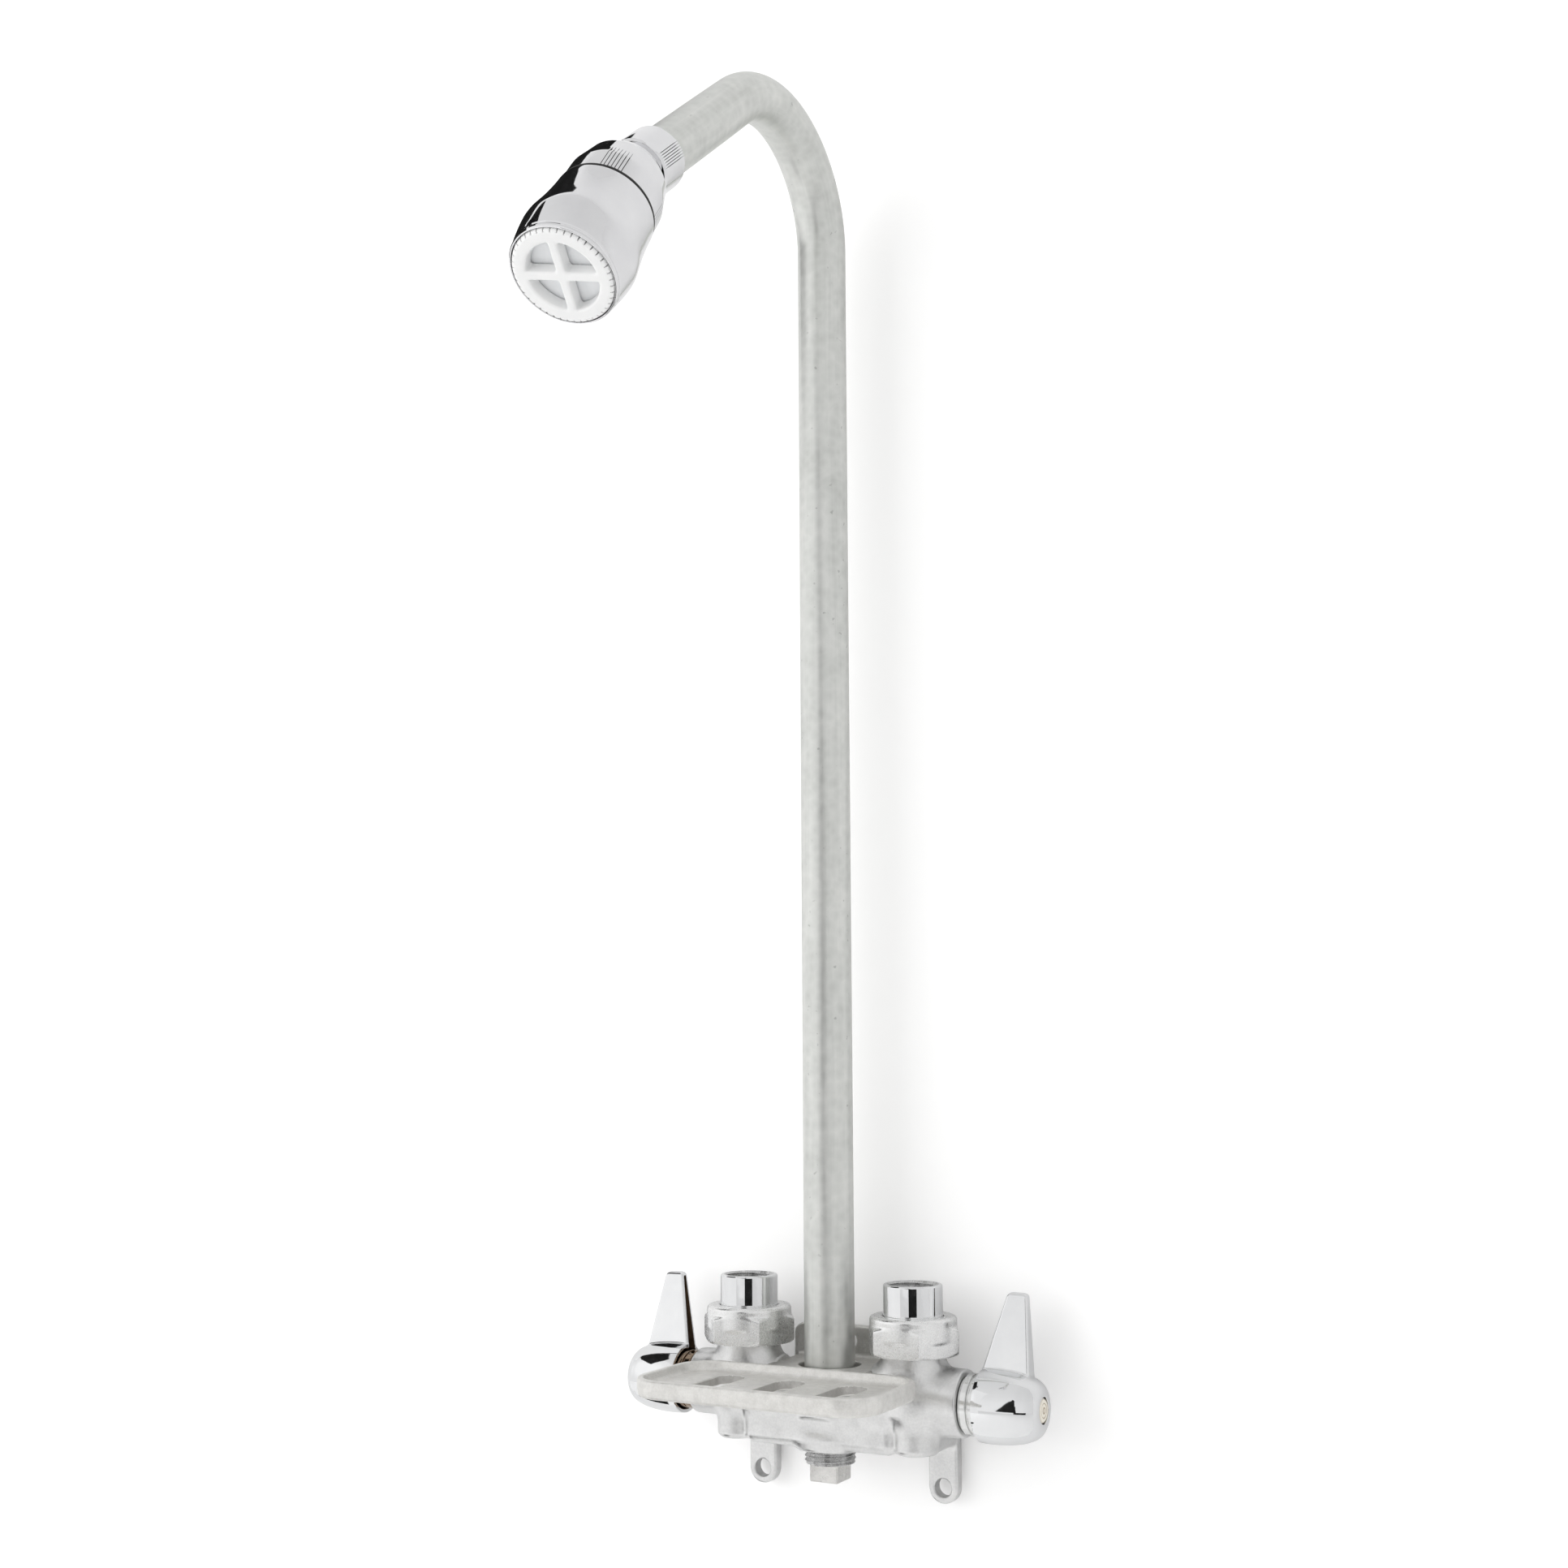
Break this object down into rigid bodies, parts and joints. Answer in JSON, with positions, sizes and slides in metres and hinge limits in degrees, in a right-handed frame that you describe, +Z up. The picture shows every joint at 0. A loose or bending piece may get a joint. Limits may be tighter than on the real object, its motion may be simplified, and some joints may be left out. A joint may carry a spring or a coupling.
{
  "type": "wall-mounted exposed shower fitting",
  "caption": "Exposed wall-mounted two-handle shower valve with union inlets, soap dish, gooseneck riser pipe and ball-joint spray head.",
  "frame": {"origin": "on the wall, midway between the centres of the two lower screw holes", "axes": "+X to the right seen from the front, -Y out of the wall towards the user, +Z up"},
  "size_m": [0.191, 0.2406, 0.6011],
  "materials": {
    "cast_rough_chrome": "coarse, bead-like rough chrome over cast brass",
    "sandblasted_dish": "finely sandblasted, satin",
    "galvanised_steel": "hot-dip galvanised, dull, faint spangle",
    "plug_zinc": "zinc plated, satin",
    "tailpiece_chrome": "polished",
    "fibre_washer": "matt",
    "union_nut_rough_chrome": "coarse rough chrome",
    "black_rubber": "matt",
    "ceramic_disc": "lapped",
    "stem_brass": "machined",
    "bonnet_chrome": "polished",
    "handle_chrome": "mirror polished",
    "screw_steel": "machined",
    "index_button_plastic": "cream, satin",
    "ball_collar_chrome": "polished",
    "restrictor_plastic": "moulded",
    "screen_steel": "perforated",
    "cup_acetal": "moulded",
    "head_housing_chrome": "mirror polished",
    "retainer_brass": "machined",
    "core_plastic": "moulded",
    "joint_ring_rubber": "matt",
    "spray_shell_chrome": "mirror polished",
    "face_white_plastic": "moulded, semi-gloss",
    "jet_plate_plastic": "moulded, translucent look"
  },
  "bodies": {
    "fitting": {"valve_body": "cast_rough_chrome", "soap_dish": "sandblasted_dish", "riser_pipe": "galvanised_steel", "drain_plug": "plug_zinc", "left_inlet_tailpiece": "tailpiece_chrome", "right_inlet_tailpiece": "tailpiece_chrome", "left_union_washer": "fibre_washer", "right_union_washer": "fibre_washer", "left_union_nut": "union_nut_rough_chrome", "right_union_nut": "union_nut_rough_chrome", "left_seat_seal": "black_rubber", "right_seat_seal": "black_rubber", "left_fixed_disc": "ceramic_disc", "right_fixed_disc": "ceramic_disc", "left_bonnet": "bonnet_chrome", "right_bonnet": "bonnet_chrome", "left_bonnet_o_ring": "black_rubber", "right_bonnet_o_ring": "black_rubber", "swivel_ball": "ball_collar_chrome", "flow_restrictor": "restrictor_plastic", "filter_screen": "screen_steel", "collar_washer": "black_rubber"},
    "left_handle": {"left_lever_handle": "handle_chrome", "left_handle_screw": "screw_steel", "left_index_button": "index_button_plastic", "left_valve_stem": "stem_brass", "left_rotating_disc": "ceramic_disc"},
    "right_handle": {"right_lever_handle": "handle_chrome", "right_handle_screw": "screw_steel", "right_index_button": "index_button_plastic", "right_valve_stem": "stem_brass", "right_rotating_disc": "ceramic_disc"},
    "head_swivel": {"ball_cup": "cup_acetal"},
    "head": {"head_housing": "head_housing_chrome", "ball_retainer": "retainer_brass", "spray_core": "core_plastic", "joint_ring": "joint_ring_rubber"},
    "spray_ring": {"spray_shell": "spray_shell_chrome", "face_insert": "face_white_plastic", "jet_plate": "jet_plate_plastic"}
  },
  "joints": [
    {"name": "left_handle_turn", "type": "hinge", "parent": "fitting", "child": "left_handle", "pos_m": [-0.068, -0.0245, 0.0387], "axis": [1, 0, 0], "range_deg": [0, 90]},
    {"name": "right_handle_turn", "type": "hinge", "parent": "fitting", "child": "right_handle", "pos_m": [0.068, -0.0245, 0.0387], "axis": [1, 0, 0], "range_deg": [0, 90]},
    {"name": "head_turn", "type": "hinge", "parent": "fitting", "child": "head_swivel", "pos_m": [0, -0.1882, 0.50628], "axis": [0, 0.781, 0.6245], "range_deg": [-180, 180]},
    {"name": "head_tilt", "type": "hinge", "parent": "head_swivel", "child": "head", "pos_m": [0, -0.1882, 0.50628], "axis": [0.9908, 0.0845, -0.1056], "range_deg": [-35, 5]},
    {"name": "spray_adjust", "type": "hinge", "parent": "head", "child": "spray_ring", "pos_m": [0, -0.1882, 0.50628], "axis": [0.0348, 0.5955, 0.8026], "range_deg": [-90, 90]}
  ]
}
